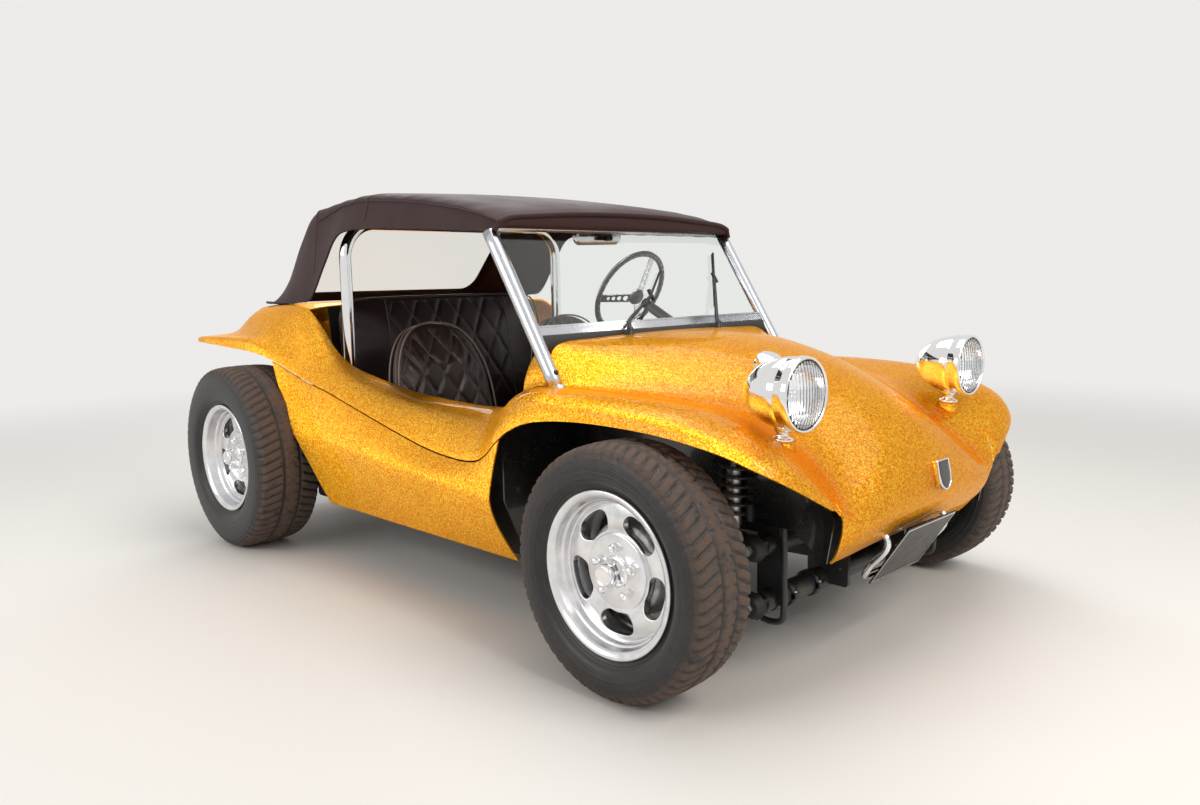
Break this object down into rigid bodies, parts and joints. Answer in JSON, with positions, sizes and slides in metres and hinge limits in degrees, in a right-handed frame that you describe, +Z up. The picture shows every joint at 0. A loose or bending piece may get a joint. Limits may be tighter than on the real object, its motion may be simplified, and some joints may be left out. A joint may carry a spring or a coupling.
{
  "type": "dune buggy",
  "caption": "Open moulded-shell beach car with a soft roof, bullet headlamps, slotted alloy wheels, bucket seats and a rear engine; the wheels spin and steer with the steering wheel.",
  "frame": {"origin": "on the ground under the middle of the car's length, on its centre plane", "axes": "+X points forward, +Y to the car's left, +Z up"},
  "size_m": [3.0804, 1.7588, 1.3427],
  "materials": {
    "body_gold": "gold metalflake under clear lacquer",
    "black_paint": "gloss black",
    "chassis_black": "satin black",
    "polished_alloy": "polished cast",
    "cast_alloy": "as cast",
    "chrome_slot": "mirror",
    "steel": "satin",
    "exhaust_steel": "heat stained",
    "tyre_slot": "dusty rubber",
    "glass_slot": "clear",
    "lens_slot": "fluted clear",
    "red_lens": "ribbed",
    "brown_vinyl": "quilted and grained",
    "roof_vinyl": "grained, coated cloth",
    "liner_slot": "carpet",
    "plate_slot": "plain",
    "wiper_slot": "matt"
  },
  "bodies": {
    "chassis": {"body_side_left": "body_gold", "body_side_right": "body_gold", "cockpit_liner": "liner_slot", "dampers": "steel", "dashboard": "brown_vinyl", "driver_controls": "chrome_slot", "engine": "cast_alloy", "exhaust": "exhaust_steel", "floorpan": "chassis_black", "front_beam": "chassis_black", "front_body": "body_gold", "front_compartment": "black_paint", "fuel_filler_cap": "chrome_slot", "headlamp_lenses": "lens_slot", "headlamps": "chrome_slot", "nose_panel": "body_gold", "number_plates": "plate_slot", "rear_body": "body_gold", "rear_frame": "chassis_black", "rear_seat": "brown_vinyl", "rear_valance": "body_gold", "rear_view_mirror": "chrome_slot", "roll_hoop": "chrome_slot", "roof_canopy": "roof_vinyl", "roof_frame": "steel", "seat_left": "brown_vinyl", "seat_right": "brown_vinyl", "side_panel_left": "body_gold", "side_panel_right": "body_gold", "steering_column": "chassis_black", "tail_lamps": "red_lens", "trailing_arms": "chassis_black", "transaxle": "cast_alloy", "windscreen_frame": "steel", "windscreen_glass": "glass_slot", "wipers": "wiper_slot"},
    "knuckle_left": {"knuckle_left": "chassis_black"},
    "knuckle_right": {"knuckle_right": "chassis_black"},
    "drop_arm": {"drop_arm": "chassis_black"},
    "tie_rod_left": {"tie_rod_left": "steel"},
    "tie_rod_right": {"tie_rod_right": "steel"},
    "steering_wheel": {"steering_wheel": "polished_alloy"},
    "wheel_front_left": {"wheel_front_left": "polished_alloy", "tyre_front_left": "tyre_slot"},
    "wheel_front_right": {"wheel_front_right": "polished_alloy", "tyre_front_right": "tyre_slot"},
    "wheel_rear_left": {"wheel_rear_left": "polished_alloy", "tyre_rear_left": "tyre_slot"},
    "wheel_rear_right": {"wheel_rear_right": "polished_alloy", "tyre_rear_right": "tyre_slot"}
  },
  "joints": [
    {"name": "steer_left", "type": "hinge", "parent": "chassis", "child": "knuckle_left", "pos_m": [1.1, 0.598, 0.317], "axis": [0, 0, 1], "range_deg": [-30, 30]},
    {"name": "steer_right", "type": "hinge", "parent": "chassis", "child": "knuckle_right", "pos_m": [1.1, -0.598, 0.317], "axis": [0, 0, 1], "range_deg": [-30, 30]},
    {"name": "drop_arm_turn", "type": "hinge", "parent": "chassis", "child": "drop_arm", "pos_m": [1.115, 0.325, 0.3], "axis": [0, 0, 1], "range_deg": [-30, 30]},
    {"name": "tie_rod_left_pivot", "type": "hinge", "parent": "knuckle_left", "child": "tie_rod_left", "pos_m": [1.195, 0.598, 0.3], "axis": [0, 0, 1], "range_deg": [-30, 30]},
    {"name": "tie_rod_right_pivot", "type": "hinge", "parent": "knuckle_right", "child": "tie_rod_right", "pos_m": [1.195, -0.598, 0.278], "axis": [0, 0, 1], "range_deg": [-30, 30]},
    {"name": "steering_wheel_turn", "type": "hinge", "parent": "chassis", "child": "steering_wheel", "pos_m": [0.15, 0.325, 0.94], "axis": [-0.8841, 0, 0.4673], "range_deg": [-455, 455]},
    {"name": "wheel_front_left_spin", "type": "hinge", "parent": "knuckle_left", "child": "wheel_front_left", "pos_m": [1.1, 0.745, 0.317], "axis": [0, 1, 0], "continuous": true},
    {"name": "wheel_front_right_spin", "type": "hinge", "parent": "knuckle_right", "child": "wheel_front_right", "pos_m": [1.1, -0.745, 0.317], "axis": [0, 1, 0], "continuous": true},
    {"name": "wheel_rear_left_spin", "type": "hinge", "parent": "chassis", "child": "wheel_rear_left", "pos_m": [-0.94, 0.756, 0.352], "axis": [0, 1, 0], "continuous": true},
    {"name": "wheel_rear_right_spin", "type": "hinge", "parent": "chassis", "child": "wheel_rear_right", "pos_m": [-0.94, -0.756, 0.352], "axis": [0, 1, 0], "continuous": true}
  ],
  "couplings": [
    {"joint": "steer_right", "follows": "steer_left", "ratio": 1},
    {"joint": "drop_arm_turn", "follows": "steer_left", "ratio": 1},
    {"joint": "tie_rod_left_pivot", "follows": "steer_left", "ratio": -1},
    {"joint": "tie_rod_right_pivot", "follows": "steer_left", "ratio": -1},
    {"joint": "steering_wheel_turn", "follows": "steer_left", "ratio": 15}
  ]
}
